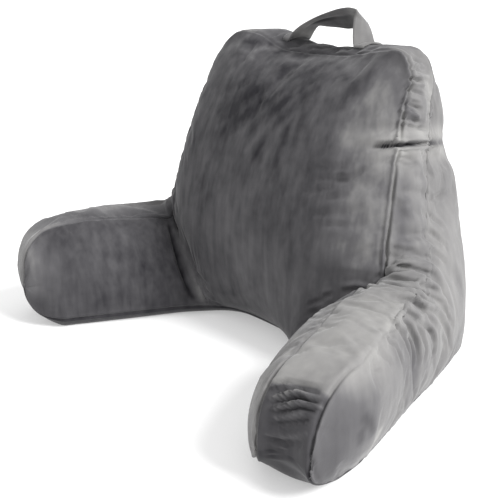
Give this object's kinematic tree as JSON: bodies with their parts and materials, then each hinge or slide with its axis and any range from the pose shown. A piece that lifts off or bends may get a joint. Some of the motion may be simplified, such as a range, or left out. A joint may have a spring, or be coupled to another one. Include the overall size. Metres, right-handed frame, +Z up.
{
  "type": "reading pillow with arms",
  "caption": "Upright backrest pillow with two forward arms and a flat carrying strap on top; a boxed plush cover filled tight, standing on its flat base.",
  "frame": {"origin": "bottom centre of the whole pillow's box, on the plane it stands on", "axes": "+Z up from the flat base to the carrying strap; the arms reach towards -Y, the rear panel faces +Y; arm_right is on the +X side and arm_left on the -X side, as seen by someone who faces the pillow"},
  "size_m": [0.7665, 0.5535, 0.5098],
  "materials": {
    "plush": "short-pile velour plush, charcoal grey",
    "plush_strap": "the same plush, folded flat into a strap"
  },
  "bodies": {
    "root": {"back_cushion": "plush", "arm_left": "plush", "arm_right": "plush", "handle_strap": "plush_strap"}
  },
  "joints": []
}
